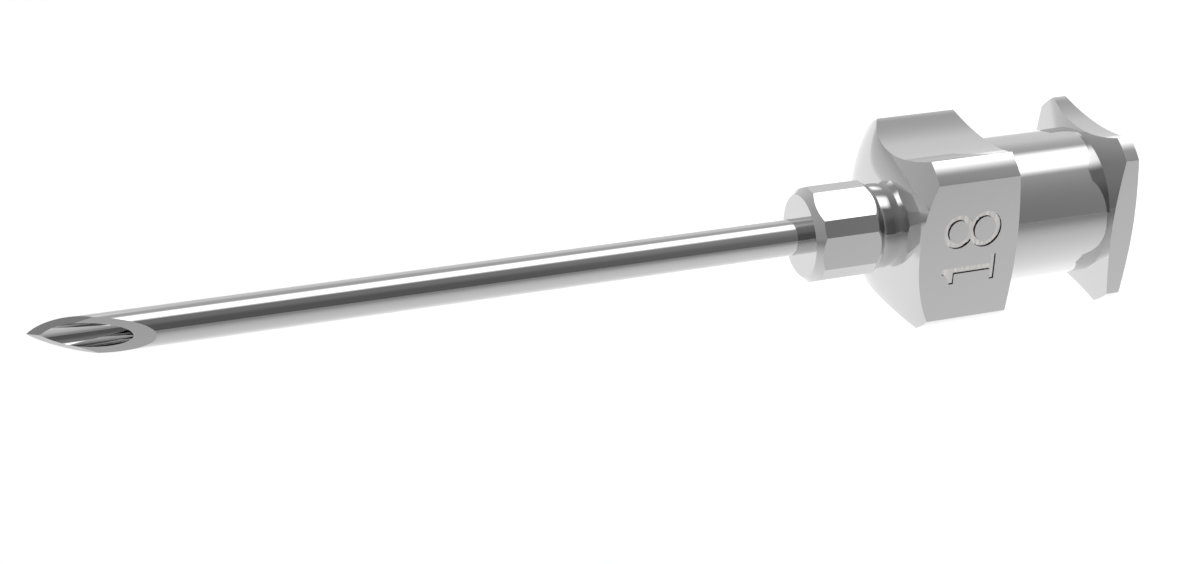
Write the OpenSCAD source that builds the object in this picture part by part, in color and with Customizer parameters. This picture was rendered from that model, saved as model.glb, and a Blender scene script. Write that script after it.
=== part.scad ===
// All-metal luer lock needle tip, 18 gauge, one inch.
// A turned hub with a milled bar section carries a steel tube with a three-facet point.
//
// Frame: millimetres. The X axis is the needle's axis, and +X points out of the luer socket.
// The origin is the centre of the socket's mouth, on the flat rim that faces +X.
// The flat that carries the gauge number faces -Y, and one scoop of the bar faces +Z.

/* [Needle tube] */
// Outside diameter of the tube
tube_od = 1.27; // [0.8:0.01:1.6]
// Wall thickness of the tube
tube_wall = 0.215; // [0.1:0.005:0.3]
// Length of tube that stands out of the hub, from the nose face to the point
tube_reach = 25.54; // [8:0.01:60]

/* [Needle point] */
// Length of the ground point, from the heel of the main bevel to the tip
bevel_length = 3.86; // [3:0.01:5]
// Angle between the main bevel and the axis
bevel_angle = 17.2; // [15:0.1:20]
// Angle between each side facet and the axis
facet_angle = 24.4; // [22:0.1:30]
// How far the tube is turned to each side to grind a side facet
facet_turn = 30; // [20:1:40]

/* [Bar section] */
// Distance across the two flats of the bar
across_flats = 5.56; // [5.4:0.02:6.4]
// Diameter of the turned corners of the bar
corner_d = 7.53; // [7.2:0.01:8]
// Distance between the bottoms of the two scoops
across_scoops = 5.5; // [5.3:0.02:6]
// Radius of each scoop
scoop_r = 5.8; // [5:0.1:9]

/* [Lock flange] */
// Width of the flange at its corners
flange_w = 0.49; // [0.3:0.01:1]
// Slope of the flange's two faces and of the block's rear face, from square to the axis
cone_angle = 10; // [4:0.5:20]

/* [Barrel] */
// Length of the barrel between the corners of the flange and of the block
barrel_length = 4.065; // [2.5:0.005:8]
// Wall of the barrel at the mouth of the socket
barrel_wall = 0.46; // [0.3:0.01:0.5]

/* [Block] */
// Width of the block at its corners
block_w = 3; // [2:0.05:6]
// Radius of the crown turned on the front of the block
crown_r = 4.64; // [4:0.02:9]
// Distance from the axis to the centre of the crown's arc
crown_centre_r = 1.2; // [0.8:0.05:1.4]

/* [Collar and neck] */
// Diameter of the neck between the block and the collar
neck_d = 2.98; // [2.8:0.01:3.1]
// Length of the neck, from the top of the crown to the collar
neck_length = 0.38; // [0.2:0.01:2]
// Length of the collar, with its chamfers
collar_length = 2.52; // [1.6:0.01:6]
// Distance across the six wide flats of the collar
collar_flats = 3.25; // [3.2:0.01:3.4]
// Distance across the six narrow flats that cut off the corners of the hexagon
collar_corner_flats = 3.41; // [3.4:0.01:3.6]
// Diameter of the flat face on the end of the nose
nose_face_d = 2.88; // [2.4:0.01:3]
// Angle between the nose chamfer and the axis
nose_chamfer_angle = 45; // [30:1:60]
// Angle between the collar's rear chamfer and the axis
rear_chamfer_angle = 35; // [25:1:50]

/* [Luer socket] */
// Diameter of the socket at its mouth
socket_d = 4.29; // [4.27:0.005:4.32]
// Metal between the floor of the socket and the top of the crown
floor_web = 1.03; // [0.9:0.01:2]
// Radial gap round the tube in its hole, none where the tube is soldered in
tube_fit = 0; // [0:0.005:0.02]

/* [Hidden] */

$fn = 128;
luer_taper = 0.06;            // loss of diameter per unit of length in a luer cone
funnel_angle = 45;            // slope of the funnel that leads from the socket to the tube
cut_margin = 1;               // how far a cutting shape runs past what it cuts

tube_r = tube_od / 2;
bore_r = tube_r - tube_wall;
tube_hole_r = tube_r + tube_fit;
corner_r = corner_d / 2;
socket_r = socket_d / 2;
barrel_r = socket_r + barrel_wall;
neck_r = neck_d / 2;
nose_face_r = nose_face_d / 2;

// The turned size of the collar clears every corner that its flats leave.
collar_r = collar_corner_flats / 2 / cos(30);

// Stations along the axis, as distances from the rim towards the point
flange_rear = (corner_r - barrel_r) * tan(cone_angle);
flange_front = flange_rear + flange_w;
block_rear = flange_front + barrel_length;
block_front = block_rear + block_w;
crown_edge_rise = sqrt(pow(crown_r, 2) - pow(corner_r - crown_centre_r, 2));
crown_top = block_front + crown_r - crown_edge_rise;
collar_rear = crown_top + neck_length;
nose_face = collar_rear + collar_length;
point = nose_face + tube_reach;
bevel_heel = point - bevel_length;

// The socket ends short of the crown, and its funnel narrows to the tube's hole.
socket_depth = crown_top - floor_web;
socket_floor_r = socket_r - socket_depth * luer_taper / 2;
tube_seat = socket_depth + (socket_floor_r - tube_hole_r) / tan(funnel_angle);

// Turns a profile drawn as [radius, distance from the rim] about the needle's axis.
module turned() {
    rotate([0, -90, 0])
        rotate_extrude()
            children();
}

// Runs a section drawn in a plane square to the axis from one station to the next.
module barlike(from, to) {
    translate([-from, 0, 0])
        rotate([0, -90, 0])
            linear_extrude(to - from)
                children();
}

// The section that the flange and the block share: two flats, two scoops, turned corners.
module bar_section() {
    difference() {
        intersection() {
            circle(r = corner_r);
            square([2 * corner_d, across_flats], center = true);
        }
        for (side = [-1, 1])
            translate([side * (across_scoops / 2 + scoop_r), 0])
                circle(r = scoop_r);
    }
}

// A hexagon with its corners cut off by six narrow flats.
module collar_section() {
    intersection() {
        circle(r = collar_flats / 2 / cos(30), $fn = 6);
        rotate(30)
            circle(r = collar_corner_flats / 2 / cos(30), $fn = 6);
    }
}

// Half section of the flange: both faces slope back to the barrel.
module flange_profile() {
    front_drop = corner_r * tan(cone_angle);
    polygon([
        [0, 0],
        [barrel_r, 0],
        [corner_r, flange_rear],
        [corner_r, flange_front],
        [0, flange_front + front_drop]
    ]);
}

// Half section of the block: a sloping rear face and a crown turned to an arc.
module block_profile() {
    rear_rise = corner_r * tan(cone_angle);
    crown_centre = crown_top - crown_r;
    intersection() {
        polygon([
            [0, block_rear - rear_rise],
            [corner_r, block_rear],
            [corner_r, crown_top + cut_margin],
            [0, crown_top + cut_margin]
        ]);
        union() {
            translate([crown_centre_r, crown_centre])
                circle(r = crown_r);
            square([crown_centre_r, crown_top]);
        }
    }
}

// Half section of the collar before its flats are milled.
module collar_profile() {
    rear_run = (collar_r - neck_r) / tan(rear_chamfer_angle);
    nose_run = (collar_r - nose_face_r) / tan(nose_chamfer_angle);
    polygon([
        [0, collar_rear],
        [neck_r, collar_rear],
        [collar_r, collar_rear + rear_run],
        [collar_r, nose_face - nose_run],
        [nose_face_r, nose_face],
        [0, nose_face]
    ]);
}

// Half section of what is bored out: the luer cone, its funnel and the tube's hole.
module bore_profile() {
    mouth_r = socket_r + cut_margin * luer_taper / 2;
    polygon([
        [0, -cut_margin],
        [mouth_r, -cut_margin],
        [socket_floor_r, socket_depth],
        [tube_hole_r, tube_seat],
        [tube_hole_r, nose_face + cut_margin],
        [0, nose_face + cut_margin]
    ]);
}

module flange() {
    intersection() {
        turned() flange_profile();
        barlike(0, flange_front + corner_r) bar_section();
    }
}

module block() {
    intersection() {
        turned() block_profile();
        barlike(block_rear - corner_r, crown_top + cut_margin) bar_section();
    }
}

module collar() {
    intersection() {
        turned() collar_profile();
        barlike(collar_rear - cut_margin, nose_face + cut_margin) collar_section();
    }
}

// The hub is one piece of metal, from the lock flange to the nose.
module hub() {
    color("silver")
        difference() {
            union() {
                flange();
                turned() square([barrel_r, block_rear]);
                block();
                turned() square([neck_r, collar_rear]);
                collar();
            }
            turned() bore_profile();
        }
}

// Everything on the -Y side of a plane that leans at this angle to the axis.
module grind(angle) {
    stock = 4 * bevel_length;
    rotate([0, 0, -angle])
        translate([-stock, -2 * stock, -stock])
            cube(2 * stock);
}

// The steel tube, soldered into the hub and ground to a point on its +Y side.
module needle_tube() {
    color("gainsboro")
        difference() {
            turned()
                translate([bore_r, tube_seat])
                    square([tube_wall, point - tube_seat]);
            translate([-bevel_heel, -tube_r, 0])
                grind(bevel_angle);
            for (side = [-1, 1])
                rotate([side * facet_turn, 0, 0])
                    translate([-point, tube_r * cos(facet_turn), 0])
                        grind(facet_angle);
        }
}

hub();
needle_tube();
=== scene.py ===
# %% [markdown]
# A dispensing needle tip: a nickel-plated brass hub with a luer lock socket, and a steel tube
# ground to a three-facet point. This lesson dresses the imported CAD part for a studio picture.
#
# The frame comes first. It already holds the size and place of both pieces, in metres, so
# nothing is fitted by eye. The lesson itself works in millimetres, the unit in which such a
# part is drawn, and scales each piece to metres when it is finished.

# %% Load the part as a fixed frame
import math

import bmesh
import bpy
import numpy as np
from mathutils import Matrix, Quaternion, Vector


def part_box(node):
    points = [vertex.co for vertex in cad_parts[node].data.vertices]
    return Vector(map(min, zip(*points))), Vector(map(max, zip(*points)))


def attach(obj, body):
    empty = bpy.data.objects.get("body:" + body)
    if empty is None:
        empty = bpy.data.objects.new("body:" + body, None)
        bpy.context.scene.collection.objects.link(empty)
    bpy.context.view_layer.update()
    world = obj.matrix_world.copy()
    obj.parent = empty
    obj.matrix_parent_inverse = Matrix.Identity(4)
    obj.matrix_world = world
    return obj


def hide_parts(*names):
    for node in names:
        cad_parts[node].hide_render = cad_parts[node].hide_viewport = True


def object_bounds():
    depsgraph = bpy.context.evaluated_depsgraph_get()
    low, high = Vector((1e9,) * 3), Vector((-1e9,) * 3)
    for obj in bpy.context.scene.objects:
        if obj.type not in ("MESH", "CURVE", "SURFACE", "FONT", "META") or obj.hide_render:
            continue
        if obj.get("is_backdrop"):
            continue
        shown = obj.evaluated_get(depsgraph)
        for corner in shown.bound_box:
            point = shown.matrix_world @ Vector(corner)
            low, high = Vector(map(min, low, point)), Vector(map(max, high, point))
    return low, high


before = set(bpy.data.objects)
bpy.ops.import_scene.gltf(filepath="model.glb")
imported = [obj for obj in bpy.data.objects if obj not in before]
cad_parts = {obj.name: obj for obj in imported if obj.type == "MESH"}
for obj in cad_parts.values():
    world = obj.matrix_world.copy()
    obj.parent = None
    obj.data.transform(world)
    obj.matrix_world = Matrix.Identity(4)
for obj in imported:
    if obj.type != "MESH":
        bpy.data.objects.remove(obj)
cad_low, cad_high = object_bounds()
MM = 0.001

hub_low, hub_high = (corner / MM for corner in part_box("hub"))
tube_low, tube_high = (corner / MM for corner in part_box("needle_tube"))
hub_length = hub_high.x - hub_low.x
half_flats = hub_high.y
tube_radius = tube_high.z
point = -tube_low.x
print(f"hub {hub_length:.2f} mm long, {2 * half_flats:.2f} mm across its flats")
print(f"tube {2 * tube_radius:.2f} mm thick, its point {point:.2f} mm from the socket's rim")

# %% [markdown]
# The camera stands in front of the needle, to the left of the hub and above it. From this
# close, a lens of about 50 mm shows the hub large and lets the tube run away to the left.
# A camera can be aimed with the direction that it looks in. The small roll is the tilt that
# a hand-set tripod leaves.

# %% Camera
scene = bpy.context.scene
scene.view_settings.view_transform = "Standard"

camera = bpy.data.objects.new("camera", bpy.data.cameras.new("camera"))
scene.collection.objects.link(camera)
scene.camera = camera
camera.data.sensor_width = 36
camera.data.lens = 49.24
camera.data.clip_start = 1 * MM
camera.location = Vector((-32.96, -47.05, 24.33)) * MM
look = Vector((0.25936, 0.85279, -0.45329))
roll = Quaternion((0, 0, 1), math.radians(-0.23))
camera.rotation_mode = "QUATERNION"
camera.rotation_quaternion = look.to_track_quat("-Z", "Y") @ roll
print("camera at", [round(v / MM, 1) for v in camera.location], "mm")

# %% [markdown]
# The real hub starts as brass bar in a lathe, so it is made that way here. Its profile is a
# closed line of points, each one a distance from the socket's rim and a radius. The outside
# runs from the rim to the nose. The bore runs back through the tube's hole and the funnel to
# the luer socket, which narrows by 6 in 100. The flange and the rear of the block slope by 10
# degrees from square, and the nose's chamfer and the funnel by 45.

# %% The hub's profile, as turned
corner_radius = 3.765
barrel_radius = 2.605
neck_radius = 1.49
collar_radius = 1.969
nose_radius = 1.44
socket_radius = 2.145

flange_width = 0.49
barrel_length = 4.065
block_width = 3.0
slope_run = (corner_radius - barrel_radius) * math.tan(math.radians(10))
flange_front = slope_run + flange_width
block_rear = flange_front + barrel_length
block_front = block_rear + block_width

crown_radius = 4.64
crown_centre_radius = 1.2
crown_start = math.asin((corner_radius - crown_centre_radius) / crown_radius)
crown_end = math.asin((neck_radius - crown_centre_radius) / crown_radius)
crown_centre = block_front - crown_radius * math.cos(crown_start)
crown_top = crown_centre + crown_radius

collar_length = 2.52
collar_rear = hub_length - collar_length
chamfer_run = (collar_radius - neck_radius) / math.tan(math.radians(35))
nose_run = collar_radius - nose_radius

floor_web = 1.03
luer_taper = 0.06
socket_depth = crown_top - floor_web
socket_floor_radius = socket_radius - socket_depth * luer_taper / 2
tube_seat = socket_depth + socket_floor_radius - tube_radius
print(f"crown {crown_top:.2f} mm from the rim, socket {socket_depth:.2f} mm deep")

# %% [markdown]
# The block's front is a crown: a form tool with a shallow arc cuts it. A polished arc shows
# every corner between two straight steps, so it gets 24 of them, and true normals later on.

# %% The crown's arc, and the whole profile
CROWN_STEPS = 24
crown = []
for i in range(CROWN_STEPS + 1):
    turn = crown_start + (crown_end - crown_start) * i / CROWN_STEPS
    distance = crown_centre + crown_radius * math.cos(turn)
    crown.append((distance, crown_centre_radius + crown_radius * math.sin(turn)))

flange_and_barrel = [
    (0, barrel_radius),
    (slope_run, corner_radius),
    (flange_front, corner_radius),
    (flange_front + slope_run, barrel_radius),
    (block_rear - slope_run, barrel_radius),
    (block_rear, corner_radius),
    (block_front, corner_radius),
]
neck_and_collar = [
    crown[-1],
    (collar_rear, neck_radius),
    (collar_rear + chamfer_run, collar_radius),
    (hub_length - nose_run, collar_radius),
    (hub_length, nose_radius),
]
bore = [
    (hub_length, tube_radius),
    (tube_seat, tube_radius),
    (socket_depth, socket_floor_radius),
    (0, socket_radius),
]
hub_profile = flange_and_barrel[:-1] + crown[:-1] + neck_and_collar + bore
print(len(hub_profile), "points in the hub's profile")

# %% [markdown]
# Two short helpers do all the mesh work. One makes an object from corners and faces, and turns
# its faces outwards. The other turns a closed profile about the needle's axis, which makes a
# ring-shaped solid: the hub now, and the tube later.

# %% Turning
HUB_SIDES = 240


def object_from(name, corners, faces):
    """A new object in the scene, made of corners and faces, with its faces outwards."""
    mesh = bpy.data.meshes.new(name)
    mesh.from_pydata(corners, [], faces)
    solid = bmesh.new()
    solid.from_mesh(mesh)
    bmesh.ops.recalc_face_normals(solid, faces=solid.faces)
    solid.to_mesh(mesh)
    solid.free()
    made = bpy.data.objects.new(name, mesh)
    scene.collection.objects.link(made)
    return made


def turned(name, profile, sides):
    """A closed profile of (distance from the rim, radius), turned about the X axis."""
    corners, faces = [], []
    count = len(profile)
    for i in range(sides):
        angle = 2 * math.pi * i / sides
        for distance, radius in profile:
            corners.append((-distance, radius * math.cos(angle), radius * math.sin(angle)))
        here, there = i * count, (i + 1) % sides * count
        for j in range(count):
            k = (j + 1) % count
            faces.append((here + j, here + k, there + k, there + j))
    return object_from(name, corners, faces)


hub = turned("hub_body", hub_profile, HUB_SIDES)
print(hub.name, "has", len(hub.data.polygons), "faces")

# %% [markdown]
# Flats, scoops and the collar's faces are milled afterwards. The cutter here is a sleeve, and
# its hole has the section that has to be left. A boolean takes away whatever the sleeve covers.
# The other way, a hand-made mesh of every curved edge, is much longer and no more exact.

# %% Cutting
SLEEVE_RADIUS = 8.0
PAST_THE_PART = 1.0


def ring_solid(name, rings):
    """A ring-shaped solid: each of its four rings of corners is joined to two others."""
    count = len(rings[0])
    faces = []
    for a, b in ((0, 1), (2, 3), (0, 2), (1, 3)):
        for i in range(count):
            k = (i + 1) % count
            faces.append((a * count + i, a * count + k, b * count + k, b * count + i))
    return object_from(name, sum(rings, []), faces)


def sleeve(name, section, start, end):
    """A sleeve round the axis. The section of its hole is a ring of (y, z) points."""
    widened = []
    for y, z in section:
        scale = SLEEVE_RADIUS / math.hypot(y, z)
        widened.append((y * scale, z * scale))
    rings = []
    for distance in (start, end):
        for ring in (section, widened):
            rings.append([(-distance, y, z) for y, z in ring])
    return ring_solid(name, rings)


def cut(solid, cutter):
    """Takes the cutter out of the solid with an exact boolean, and removes the cutter."""
    modifier = solid.modifiers.new("cut", "BOOLEAN")
    modifier.operation = "DIFFERENCE"
    modifier.solver = "EXACT"
    modifier.object = cutter
    graph = bpy.context.evaluated_depsgraph_get()
    whole = solid.data
    solid.data = bpy.data.meshes.new_from_object(solid.evaluated_get(graph))
    solid.modifiers.clear()
    bpy.data.meshes.remove(whole)
    bpy.data.objects.remove(cutter)
    print(solid.name, "has", len(solid.data.polygons), "faces")


print("a cutting sleeve is", SLEEVE_RADIUS, "mm in radius, the hub", corner_radius)

# %% [markdown]
# The flange and the block share one bar section: two flats, 5.56 mm apart, and two scoops of
# 5.8 mm radius that hollow the other two sides. The lathe has already rounded its corners.

# %% The bar section
SCOOP_STEPS = 64
scoop_radius = 5.8
scoop_bottom = 2.75
scoop_centre = scoop_bottom + scoop_radius
scoop_reach = math.asin(half_flats / scoop_radius)

bar_section = []
for i in range(SCOOP_STEPS + 1):
    turn = scoop_reach * (1 - 2 * i / SCOOP_STEPS)
    bar_section.append(
        (scoop_radius * math.sin(turn), scoop_centre - scoop_radius * math.cos(turn))
    )
bar_section += [(-y, -z) for y, z in bar_section]

behind_collar = (crown_top + collar_rear) / 2
cut(hub, sleeve("bar_sleeve", bar_section, -PAST_THE_PART, behind_collar))

# %% [markdown]
# The collar is a hexagon, 3.25 mm across, whose corners are cut off by six narrow flats at
# 3.41 mm. Seen along the axis it has twelve corners. A corner lies where a wide flat meets a
# narrow one, 30 degrees further round.

# %% The collar's section
wide, narrow = 3.25 / 2, 3.41 / 2
between = math.radians(30)
half_width = (narrow - wide * math.cos(between)) / math.sin(between)

collar_section = []
for i in range(6):
    facing = math.radians(60 * i)
    for side in (-half_width, half_width):
        y = wide * math.cos(facing) - side * math.sin(facing)
        z = wide * math.sin(facing) + side * math.cos(facing)
        collar_section.append((y, z))

# this sleeve starts a little further on, so that the two never share a face
collar_start, collar_end = behind_collar + 0.05, hub_length + PAST_THE_PART
cut(hub, sleeve("collar_sleeve", collar_section, collar_start, collar_end))
print(f"wide flats of {2 * half_width:.2f} mm on the collar")

# %% [markdown]
# The block's near flat carries the tube's gauge, 18, cut in with a fine tool. The number reads
# upwards, along +Z, and its digits stand towards the point. Each digit is an outline of
# (along, up) points in millimetres. It is sunk 0.05 mm into the flat by a boolean, because a
# bump drawn by a material has no walls, and it is the walls that make a number legible.

# %% The gauge number
number_depth = 0.05
number_foot = 5.36
stroke = 0.20
clear_of_flat = 0.5
digit_one = [
    (-1.20, 0.00), (-0.25, 0.00), (-0.25, 0.17), (-0.59, 0.17), (-0.59, 2.00), (-0.80, 2.00),
    (-0.86, 1.87), (-0.98, 1.77), (-1.20, 1.70), (-1.20, 1.54), (-0.825, 1.54), (-0.825, 0.17),
    (-1.20, 0.17),
]


def sunk(outline):
    """An outline as two rings of corners, one clear of the flat and one at full depth."""
    return [
        [(-number_foot - up, y, along) for along, up in outline]
        for y in (-half_flats - clear_of_flat, -half_flats + number_depth)
    ]


outside, inside = sunk(digit_one)
count = len(digit_one)
edges = [(i, (i + 1) % count, count + (i + 1) % count, count + i) for i in range(count)]
ends = [tuple(range(count)), tuple(range(count, 2 * count))]
cut(hub, object_from("digit_one", outside + inside, edges + ends))

# %% [markdown]
# The 8 is two loops that share a stroke, the lower one a little larger. Each loop is a ring
# between two ellipses, and one cut follows the other.

# %% The two loops of the 8
LOOP_STEPS = 64


def loop_cutter(name, centre, half_along, half_up):
    """A ring of one stroke's width, from the half sizes of its outer edge."""
    rings = []
    for inset in (0, stroke):
        outline = []
        for i in range(LOOP_STEPS):
            turn = 2 * math.pi * i / LOOP_STEPS
            along = centre[0] + (half_along - inset) * math.cos(turn)
            outline.append((along, centre[1] + (half_up - inset) * math.sin(turn)))
        rings += sunk(outline)
    return ring_solid(name, rings)


cut(hub, loop_cutter("lower_loop", (0.74, 0.51), 0.66, 0.60))
cut(hub, loop_cutter("upper_loop", (0.745, 1.495), 0.615, 0.565))

# %% [markdown]
# The tube is drawn stainless steel with a round bore. Its point is ground in three passes. The
# first is the long main bevel. Then the tube is turned 30 degrees to each side for two steeper
# facets, which meet in a sharp tip. A pass takes away all that stands in front of a plane, so
# its cutter is a block with one face in that plane.

# %% The tube and its point
TUBE_SIDES = 160
BLOCK_REACH, BLOCK_HALF_WIDTH = 12, 6
tube_wall = 0.215
bevel_length = 3.86
bevel_angle = 17.2
facet_angle = 24.4
facet_turn = 30

tube_bore_radius = tube_radius - tube_wall
tube_profile = [
    (tube_seat, tube_radius),
    (point, tube_radius),
    (point, tube_bore_radius),
    (tube_seat, tube_bore_radius),
]
tube = turned("tube_body", tube_profile, TUBE_SIDES)


def grinding_block(edge, lean, turn):
    """A block with its near face through (distance, y), leaning, and turned about the axis."""
    lean, turn = math.radians(lean), math.radians(turn)
    up_the_face = Vector((-math.cos(lean), math.sin(lean), 0))
    outwards = Vector((-math.sin(lean), -math.cos(lean), 0))
    about_axis = Quaternion((1, 0, 0), turn)
    corners = []
    for depth in (0, BLOCK_REACH):
        for a, b in ((-1, -1), (1, -1), (1, 1), (-1, 1)):
            corner = Vector((-edge[0], edge[1], b * BLOCK_HALF_WIDTH))
            corner += up_the_face * (a * BLOCK_REACH) + outwards * depth
            corners.append(about_axis @ corner)
    faces = [(0, 1, 2, 3), (4, 5, 6, 7)]
    faces += [(i, (i + 1) % 4, 4 + (i + 1) % 4, 4 + i) for i in range(4)]
    return object_from("grinding_block", corners, faces)


cut(tube, grinding_block((point - bevel_length, -tube_radius), bevel_angle, 0))
facet_edge = (point, tube_radius * math.cos(math.radians(facet_turn)))
for turn in (-facet_turn, facet_turn):
    cut(tube, grinding_block(facet_edge, facet_angle, turn))

# %% [markdown]
# Polished metal is a mirror, and a mirror gives away every small error of a mesh. So each
# corner of a curved face gets its true normal, worked out from the cylinder, the cone or the
# arc on which the face lies. Flat faces keep their own. More and smaller faces would get
# there too, but far more slowly.
#
# Each function below measures, for many points at once, how far they are from one surface and
# where that surface faces. The first serves every straight line of a profile.

# %% Surfaces that the lathe and the mill leave
END_SLACK = 0.002


def turned_line(start, end):
    """The cylinder, cone or disc that one straight line of a profile sweeps out."""
    run = np.subtract(end, start)
    across = np.array((run[1], -run[0])) / np.linalg.norm(run)

    def measure(points):
        radius = np.hypot(points[:, 1], points[:, 2])
        offset = np.column_stack((-points[:, 0], radius)) - start
        beyond = np.abs(offset @ run / (run @ run) - 0.5) > 0.5 + END_SLACK
        out = across[1] / radius
        facing = (np.full(len(points), -across[0]), out * points[:, 1], out * points[:, 2])
        return np.abs(offset @ across) + beyond, np.column_stack(facing)

    return measure


def crown_surface(points):
    """The crown, which an arc sweeps out."""
    radius = np.hypot(points[:, 1], points[:, 2])
    offset = np.column_stack((-points[:, 0], radius)) - (crown_centre, crown_centre_radius)
    length = np.linalg.norm(offset, axis=1)
    out = offset[:, 1] / length / radius
    facing = (-offset[:, 0] / length, out * points[:, 1], out * points[:, 2])
    return np.abs(length - crown_radius), np.column_stack(facing)


def scoop_surface(points):
    """The scoops, two cylinders along the axis. Each point is measured to the nearer one."""
    nearer = np.where(points[:, 2] > 0, scoop_centre, -scoop_centre)
    offset = np.column_stack((np.zeros(len(points)), points[:, 1], points[:, 2] - nearer))
    length = np.linalg.norm(offset, axis=1)
    return np.abs(length - scoop_radius), -offset / length[:, None]


def lines_of(profile):
    """The surface of each straight line of a profile."""
    return [turned_line(a, b) for a, b in zip(profile, profile[1:])]


hub_lines = lines_of(flange_and_barrel) + lines_of(neck_and_collar) + lines_of(bore)
tube_lines = lines_of(tube_profile)
print("straight lines:", len(hub_lines), "on the hub and", len(tube_lines), "on the tube")

# %% [markdown]
# A face belongs to a surface if its middle is within 2 micrometres of it and the two face the
# same way. Then the surface gives the normal at each of the face's corners.

# %% True normals
TOUCHING = 0.002
SAME_WAY = 0.995


def give_true_normals(solid, surfaces):
    """Sets the normals of a solid's curved faces from the surfaces on which they lie."""
    mesh = solid.data
    corners = np.array([v.co for v in mesh.vertices])
    middles = np.array([face.center for face in mesh.polygons])
    facing = np.array([face.normal for face in mesh.polygons])
    sizes = [face.loop_total for face in mesh.polygons]
    owner = np.repeat(np.arange(len(sizes)), sizes)
    normals = facing[owner]
    curved = np.zeros(len(sizes), bool)
    corner_of = np.array([loop.vertex_index for loop in mesh.loops])
    for measure in surfaces:
        gap, there = measure(middles)
        agree = np.sum(there * facing, axis=1)
        mine = (gap < TOUCHING) & (np.abs(agree) > SAME_WAY) & ~curved
        curved |= mine
        chosen = mine[owner]
        exact = measure(corners[corner_of[chosen]])[1]
        normals[chosen] = exact * np.sign(agree[owner][chosen])[:, None]
    mesh.shade_smooth()
    mesh.normals_split_custom_set(normals)
    print(solid.name, int(curved.sum()), "curved faces and", int((~curved).sum()), "flat")


give_true_normals(hub, [crown_surface, scoop_surface, *hub_lines])
give_true_normals(tube, tube_lines)

# %% [markdown]
# Both pieces are finished, so they go into the frame: scaled to metres, riding on the part's
# one body, and standing for the plain CAD solids of the same shape and size.

# %% Into the frame
def settle(piece, node):
    """Scales a finished piece from millimetres to metres and hands it to the frame."""
    mesh = piece.data
    places = np.empty(len(mesh.vertices) * 3, np.float32)
    mesh.vertices.foreach_get("co", places)
    mesh.vertices.foreach_set("co", places * MM)
    mesh.update()
    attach(piece, "root")
    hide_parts(node)
    print(piece.name, "is", [round(v / MM, 2) for v in piece.dimensions], "mm")


settle(hub, "hub")
settle(tube, "needle_tube")

# %% [markdown]
# Colours are written as sRGB hex values, as a paint chart gives them, and shaders want linear
# light, so one function turns the first into the second. Another adds a node with its settings
# and its inputs: plain values, or the outputs of other nodes.

# %% Colours and nodes
def linear(code):
    """An sRGB hex colour as linear red, green, blue and alpha."""
    values = [int(code[i : i + 2], 16) / 255 for i in (1, 3, 5)]
    flat = [v / 12.92 if v <= 0.04045 else ((v + 0.055) / 1.055) ** 2.4 for v in values]
    return (*flat, 1)


def add_node(tree, kind, settings=None, inputs=None):
    """A node with its settings, and its inputs by name or number."""
    node = tree.nodes.new(kind)
    for name, value in (settings or {}).items():
        setattr(node, name, value)
    for name, value in (inputs or {}).items():
        if isinstance(value, bpy.types.NodeSocket):
            tree.links.new(value, node.inputs[name])
        else:
            node.inputs[name].default_value = value
    return node


def new_material(name, code, metallic, roughness):
    """A material with its main shader set, as (material, its node tree, the shader)."""
    material = bpy.data.materials.new(name)
    material.use_nodes = True
    tree = material.node_tree
    shader = tree.nodes["Principled BSDF"]
    shader.inputs["Base Color"].default_value = linear(code)
    shader.inputs["Metallic"].default_value = metallic
    shader.inputs["Roughness"].default_value = roughness
    return material, tree, shader


def bands_apart(spacing):
    """The scale of a wave texture for bands this many millimetres apart."""
    # a wave's bands repeat 20 / (2 pi) times in a length of one over its scale
    return 2 * math.pi / 20 / (spacing * MM)


print(f"#808080 is {linear('#808080')[0]:.3f} in linear light")

# %% [markdown]
# The hub is brass under bright nickel, plated after it was turned and milled. Bright nickel is
# a neutral, pale mirror. Two things tell it from chrome or glass close up. The lathe's feed
# leaves rings round it, 0.06 mm apart, which the plating almost fills. And the plating is not
# equally bright everywhere, so its gloss drifts a little over half a millimetre.

# %% Bright nickel plate on turned brass
drift_size = 0.5
ring_spacing = 0.06
ring_height = 0.00006
nickel, tree, shader = new_material("bright_nickel_plate", "#D5D5D5", 1.0, 0.07)
place = add_node(tree, "ShaderNodeTexCoord").outputs["Object"]
drift = add_node(
    tree,
    "ShaderNodeTexNoise",
    inputs={"Vector": place, "Scale": 1 / (drift_size * MM), "Detail": 3},
)
gloss = add_node(
    tree,
    "ShaderNodeMapRange",
    inputs={"Value": drift.outputs["Fac"], "To Min": 0.055, "To Max": 0.085},
)
feed = add_node(
    tree,
    "ShaderNodeTexWave",
    {"wave_type": "BANDS", "bands_direction": "X"},
    {"Vector": place, "Scale": bands_apart(ring_spacing), "Distortion": 0.6},
)
rings = add_node(
    tree,
    "ShaderNodeBump",
    inputs={"Height": feed.outputs["Fac"], "Strength": 0.5, "Distance": ring_height * MM},
)
tree.links.new(gloss.outputs[0], shader.inputs["Roughness"])
tree.links.new(rings.outputs[0], shader.inputs["Normal"])
hub.data.materials.append(nickel)
print(nickel.name, "with rings", ring_spacing, "mm apart")

# %% [markdown]
# The tool that cut the number left a rougher floor, and the plating there is thin: a touch of
# the brass's warmth shows, and the light scatters more. The tool also chattered, which left
# waves across its path, 0.15 mm apart, and they show as paler and darker bands. They are drawn
# deeper than real chatter, which would be lost at this size.

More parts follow.
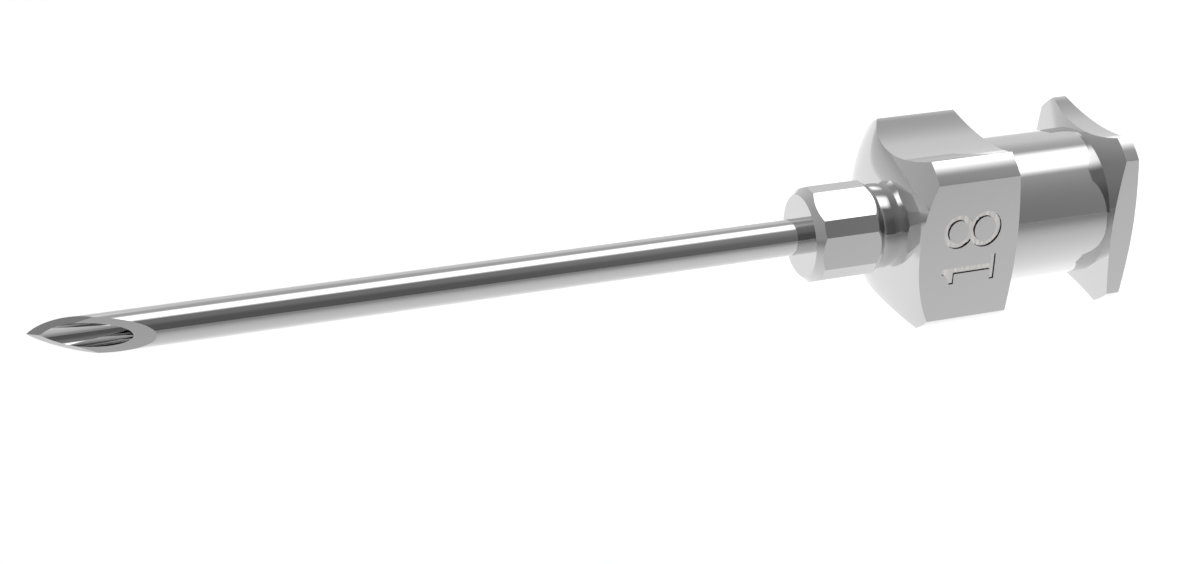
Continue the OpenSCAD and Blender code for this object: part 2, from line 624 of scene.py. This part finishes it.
# %% Cut nickel in the number
wave_spacing = 0.15
wave_length = 2
wave_height = 0.04
cut_nickel, tree, shader = new_material("cut_nickel", "#EAE8E5", 1.0, 0.2)
place = add_node(tree, "ShaderNodeTexCoord").outputs["Object"]
across = add_node(
    tree,
    "ShaderNodeVectorMath",
    {"operation": "MULTIPLY"},
    {0: place, 1: [1 / (size * MM) for size in (wave_spacing, wave_length, wave_length)]},
)
chatter = add_node(
    tree, "ShaderNodeTexNoise", inputs={"Vector": across.outputs[0], "Scale": 1, "Detail": 1}
)
waves = add_node(
    tree,
    "ShaderNodeBump",
    inputs={"Height": chatter.outputs["Fac"], "Strength": 1, "Distance": wave_height * MM},
)
tree.links.new(waves.outputs[0], shader.inputs["Normal"])
hub.data.materials.append(cut_nickel)
print(cut_nickel.name, "with waves", wave_spacing, "mm apart")

# %% [markdown]
# The walls of the number are painted almost black: painted shade in the narrow recess of the
# engraving. The finish is dull, with a fine grainy bump, so it is the one finish here that
# isn't metal.

# %% Painted shade on the number's walls
wall_grain_size = 0.02
wall_grain_height = 0.003
# painted shade: a dull near-black colour on the walls of the number, where the recess is in
# shade
painted_wall_shade, tree, shader = new_material("painted_shade_number_walls", "#161616", 0.0, 0.6)
place = add_node(tree, "ShaderNodeTexCoord").outputs["Object"]
wall_grain = add_node(
    tree,
    "ShaderNodeTexNoise",
    inputs={"Vector": place, "Scale": 1 / (wall_grain_size * MM), "Detail": 2},
)
wall_bump = add_node(
    tree,
    "ShaderNodeBump",
    inputs={"Height": wall_grain.outputs["Fac"], "Strength": 0.5, "Distance": wall_grain_height * MM},
)
tree.links.new(wall_bump.outputs[0], shader.inputs["Normal"])
hub.data.materials.append(painted_wall_shade)

whisker = 0.001
number_reach = 1.6
number_floor = -half_flats + number_depth
finishes = [0, 0, 0]
for face in hub.data.polygons:
    x, y, z = face.center / MM
    near_number = abs(z) < number_reach and block_rear < -x < block_front
    if near_number and y < number_floor + whisker:
        if y > number_floor - whisker:
            face.material_index = 1
        # the number's walls take the painted shade
        elif y > -half_flats + whisker:
            face.material_index = 2
    finishes[face.material_index] += 1
print("hub faces with each finish:", finishes)

# %% [markdown]
# The tube is stainless steel, drawn through a die and polished. Steel is a little darker than
# nickel. Drawing leaves faint streaks that run the tube's whole length, so the noise that
# makes them is stretched along X: 0.1 mm wide and 4 mm long.

# %% Drawn stainless steel
streak_length = 4
streak_width = 0.1
steel, tree, shader = new_material("drawn_stainless_steel", "#D4D4D4", 1.0, 0.07)
place = add_node(tree, "ShaderNodeTexCoord").outputs["Object"]
stretched = add_node(
    tree,
    "ShaderNodeVectorMath",
    {"operation": "MULTIPLY"},
    {0: place, 1: [1 / (size * MM) for size in (streak_length, streak_width, streak_width)]},
)
streaks = add_node(
    tree, "ShaderNodeTexNoise", inputs={"Vector": stretched.outputs[0], "Scale": 1, "Detail": 2}
)
gloss = add_node(
    tree,
    "ShaderNodeMapRange",
    inputs={"Value": streaks.outputs["Fac"], "To Min": 0.05, "To Max": 0.09},
)
tree.links.new(gloss.outputs[0], shader.inputs["Roughness"])
tube.data.materials.append(steel)
print(steel.name, "with streaks", streak_width, "mm wide")

# %% [markdown]
# The three ground faces of the point are the same steel, but a wheel finished them. Its grit
# leaves lines square to the tube, about 0.03 mm apart. They are too fine to show, so they are
# drawn 0.05 mm apart and shallow, and they take the edge off the mirror.

# %% Ground steel on the point
grit_spacing = 0.05
grit_height = 0.0002
ground, tree, shader = new_material("ground_steel", "#CFCFCF", 1.0, 0.12)
place = add_node(tree, "ShaderNodeTexCoord").outputs["Object"]
grit = add_node(
    tree,
    "ShaderNodeTexWave",
    {"wave_type": "BANDS", "bands_direction": "X"},
    {"Vector": place, "Scale": bands_apart(grit_spacing), "Distortion": 4, "Detail": 2},
)
scratches = add_node(
    tree,
    "ShaderNodeBump",
    inputs={"Height": grit.outputs["Fac"], "Strength": 0.5, "Distance": grit_height * MM},
)
tree.links.new(scratches.outputs[0], shader.inputs["Normal"])
tube.data.materials.append(ground)

# the drawn faces run along the tube, so only its ends face along the axis at all
facets = 0
for face in tube.data.polygons:
    if -face.center.x / MM > point - 2 * bevel_length and abs(face.normal.x) > 0.05:
        face.material_index = 1
        facets += 1
print(facets, "ground faces")

# %% [markdown]
# Metal has no colour of its own to speak of: what it shows is the room. So the room is built
# with care, as a sky of plain greys. Two rings of greys run round it, one for the walls and
# one for the ceiling, each written as (azimuth, grey), with azimuth 0 in front and 90 to the
# right. The wall behind the camera is dark, which draws the dark bands along the tube and the
# barrel. The wall behind the part is pale, and most so to the right. The walls pass into the
# ceiling between 27 and 52 degrees above the horizon.

# %% The room's walls and ceiling
walls = [
    (-90, "#B5B5B5"), (-75, "#AAAAAA"), (-60, "#9B9B9B"), (-45, "#818181"), (-33, "#696969"),
    (-20, "#636363"), (0, "#626262"), (12, "#656565"), (22, "#747474"), (30, "#898989"),
    (40, "#979797"), (60, "#ABABAB"), (100, "#C8C8C8"), (130, "#E0E0E0"), (145, "#E7E7E7"),
    (165, "#E7E7E7"), (180, "#E4E4E4"), (195, "#DADADA"), (210, "#D0D0D0"), (225, "#C5C5C5"),
    (245, "#BEBEBE"), (270, "#B5B5B5"),
]
ceiling = [
    (-90, "#9E9E9E"), (-75, "#959595"), (-40, "#8B8B8B"), (0, "#808080"), (20, "#858585"),
    (35, "#939393"), (45, "#9F9F9F"), (60, "#AFAFAF"), (90, "#BABABA"), (140, "#BCBCBC"),
    (180, "#BCBCBC"), (210, "#BCBCBC"), (240, "#B6B6B6"), (260, "#AAAAAA"), (270, "#9E9E9E"),
]


def set_stops(ramp, stops):
    """Fills a colour ramp with (place from 0 to 1, hex colour) stops."""
    elements = ramp.color_ramp.elements
    while len(elements) < len(stops):
        elements.new(0.5)
    for element, (place, code) in zip(elements, stops):
        element.position = place
        element.color = linear(code)


world = bpy.data.worlds.new("room")
scene.world = world
world.use_nodes = True
tree = world.node_tree
direction = add_node(tree, "ShaderNodeTexCoord").outputs["Generated"]
bearing = add_node(
    tree, "ShaderNodeTexGradient", {"gradient_type": "RADIAL"}, {"Vector": direction}
)
rings = []
for greys in (walls, ceiling):
    ring = add_node(tree, "ShaderNodeValToRGB", inputs={"Fac": bearing.outputs["Fac"]})
    set_stops(ring, [((azimuth + 90) / 360, code) for azimuth, code in greys])
    rings.append(ring.outputs["Color"])

ceiling_starts, ceiling_full = math.radians(27), math.radians(52)
height = add_node(tree, "ShaderNodeSeparateXYZ", inputs={"Vector": direction}).outputs["Z"]
above = add_node(
    tree,
    "ShaderNodeMapRange",
    {"interpolation_type": "SMOOTHSTEP"},
    {
        "Value": height,
        "From Min": math.sin(ceiling_starts),
        "From Max": math.sin(ceiling_full),
    },
)
room = add_node(
    tree,
    "ShaderNodeMix",
    {"data_type": "RGBA"},
    {"Factor": above.outputs[0], 6: rings[0], 7: rings[1]},
)
print(len(walls), "greys on the walls and", len(ceiling), "on the ceiling")

# %% [markdown]
# Two soft boxes hang in the room. The large one is overhead, to the right of the hub, and gives
# the white strips on the tube, the barrel and the collar. The small one stands at the back
# left, and lights the edge of the tube and the neck. The cloth of a soft box is brightest in
# its middle and fades towards its frame, and polished metal shows that fade, so both are drawn
# in the sky. A direction divided by its height is a point on a level ceiling, where a box has
# straight sides. Each box has a centre there, the half sizes at which its light ends, and the
# half sizes within which it is full. The boxes stand turned by 8.5 degrees to the needle.

# %% The soft boxes
soft_boxes = [
    ((0.45, 0.00), (0.90, 0.465), (0.65, 0.105)),
    ((-0.16, 1.64), (0.42, 0.85), (0.01, 0.28)),
]
box_level = 2.3
box_turn = math.radians(-8.5)

turned_sky = add_node(
    tree,
    "ShaderNodeVectorRotate",
    {"rotation_type": "Z_AXIS"},
    {"Vector": direction, "Angle": box_turn},
)
overhead = add_node(tree, "ShaderNodeMath", {"operation": "MAXIMUM"}, {0: height, 1: 0.001})
on_ceiling = add_node(
    tree,
    "ShaderNodeVectorMath",
    {"operation": "DIVIDE"},
    {0: turned_sky.outputs[0], 1: overhead.outputs[0]},
)
sky = room.outputs[2]
for centre, ends, full in soft_boxes:
    offset = add_node(
        tree,
        "ShaderNodeVectorMath",
        {"operation": "SUBTRACT"},
        {0: on_ceiling.outputs[0], 1: (*centre, 0)},
    )
    distance = add_node(
        tree, "ShaderNodeVectorMath", {"operation": "ABSOLUTE"}, {0: offset.outputs[0]}
    )
    fade = add_node(
        tree,
        "ShaderNodeMapRange",
        {"data_type": "FLOAT_VECTOR", "interpolation_type": "SMOOTHSTEP"},
        {6: distance.outputs[0], 7: (*ends, 1), 8: (*full, 0)},
    )
    sides = add_node(tree, "ShaderNodeSeparateXYZ", inputs={"Vector": fade.outputs[1]})
    cloth = add_node(
        tree,
        "ShaderNodeMath",
        {"operation": "MULTIPLY"},
        {0: sides.outputs["X"], 1: sides.outputs["Y"]},
    )
    lit = add_node(
        tree,
        "ShaderNodeMix",
        {"data_type": "RGBA"},
        {"Factor": cloth.outputs[0], 6: sky, 7: (box_level, box_level, box_level, 1)},
    )
    sky = lit.outputs[2]
tree.links.new(sky, tree.nodes["Background"].inputs["Color"])
print(len(soft_boxes), "soft boxes,", box_level, "times as bright as white paper")

# %% [markdown]
# The sky alone would leave the floor grey. A wide lamp fills it up to white. It stays out of
# the metal's reflections, as a lamp behind the picture would, so it adds no second highlight.

# %% The fill lamp
fill_level = 1.15
fill = bpy.data.objects.new("fill_lamp", bpy.data.lights.new("fill_lamp", "AREA"))
scene.collection.objects.link(fill)
fill.location = Vector((60, 40, 400)) * MM
fill.visible_glossy = False
fill.data.shape = "SQUARE"
fill.data.size = 600 * MM
fill.data.energy = fill_level * math.pi * fill.data.size**2
print(f"fill lamp of {fill.data.energy:.2f} W")

# %% [markdown]
# The floor is paper, 17 mm below the hub. The part floats over it as on a thin stand, so that
# its shadow is broad and faint. The paper's colour is white behind the part, and falls away to
# grey in front of it and on its left: painted shade, a fall-off of light drawn into the paper's
# colour. That slow painted fade, seen in the metal, is what shades the flats, the crown and the
# underside of the barrel. Seen from the part, each spot of the floor lies some degrees away
# from straight down, and the painted greys are written against that angle, towards the front
# and to the left. Of the two the darker one counts.

# %% The floor, with painted shade
floor_depth = 20
floor_reach = 1000
# painted shade: the paper's colour falls from white to grey in front of the part and on its
# left
painted_shade_forwards = [
    (-90, "#C8C8C8"), (-86.6, "#979797"), (-81, "#919191"), (-75.5, "#9F9F9F"),
    (-70, "#AFAFAF"), (-59, "#C4C4C4"), (-37, "#D8D8D8"), (-14, "#EAEAEA"), (13, "#FFFFFF"),
]
painted_shade_to_the_left = [
    (-90, "#DCDCDC"), (-87, "#C0C0C0"), (-84, "#B9B9B9"), (-79, "#C0C0C0"), (-72, "#C8C8C8"),
    (-68, "#D1D1D1"), (-65.5, "#EDEDED"), (-37, "#EFEFEF"), (-14, "#F6F6F6"), (14, "#FFFFFF"),
]
corners = [
    Vector((x * floor_reach, y * floor_reach, -floor_depth)) * MM
    for x, y in ((-1, -1), (1, -1), (1, 1), (-1, 1))
]
floor = object_from("floor", corners, [(0, 1, 2, 3)])
paper, tree, shader = new_material("paper_with_painted_shade", "#FFFFFF", 0.0, 1.0)
shader.inputs["Specular IOR Level"].default_value = 0
place = add_node(tree, "ShaderNodeTexCoord").outputs["Object"]
shades = []
# each painted fade has the direction in which its angle, and with it the painted grey, goes up
for away, greys in (((0.29, 0.957, 0), painted_shade_forwards), ((1, 0, 0), painted_shade_to_the_left)):
    reach = add_node(
        tree, "ShaderNodeVectorMath", {"operation": "DOT_PRODUCT"}, {0: place, 1: away}
    )
    angle = add_node(
        tree,
        "ShaderNodeMath",
        {"operation": "ARCTAN2"},
        {0: reach.outputs["Value"], 1: floor_depth * MM},
    )
    start, end = greys[0][0], greys[-1][0]
    along = add_node(
        tree,
        "ShaderNodeMapRange",
        inputs={
            "Value": angle.outputs[0],
            "From Min": math.radians(start),
            "From Max": math.radians(end),
        },
    )
    shade = add_node(tree, "ShaderNodeValToRGB", inputs={"Fac": along.outputs[0]})
    set_stops(shade, [((degrees - start) / (end - start), code) for degrees, code in greys])
    shades.append(shade.outputs["Color"])
darker = add_node(
    tree, "ShaderNodeMath", {"operation": "MINIMUM"}, {0: shades[0], 1: shades[1]}
)
# the darker painted grey becomes the paper's colour
tree.links.new(darker.outputs[0], shader.inputs["Base Color"])
floor.data.materials.append(paper)
floor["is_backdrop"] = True
print("floor", floor_depth, "mm below the axis")

# %% [markdown]
# Last, the sizes. The dressed part has to fill the same box as the CAD part, so both boxes are
# printed side by side.

# %% Sizes, and the end
low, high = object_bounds()
for name, pair in (("CAD ", (cad_low, cad_high)), ("made", (low, high))):
    print(name, [round(v / MM, 3) for corner in pair for v in corner])
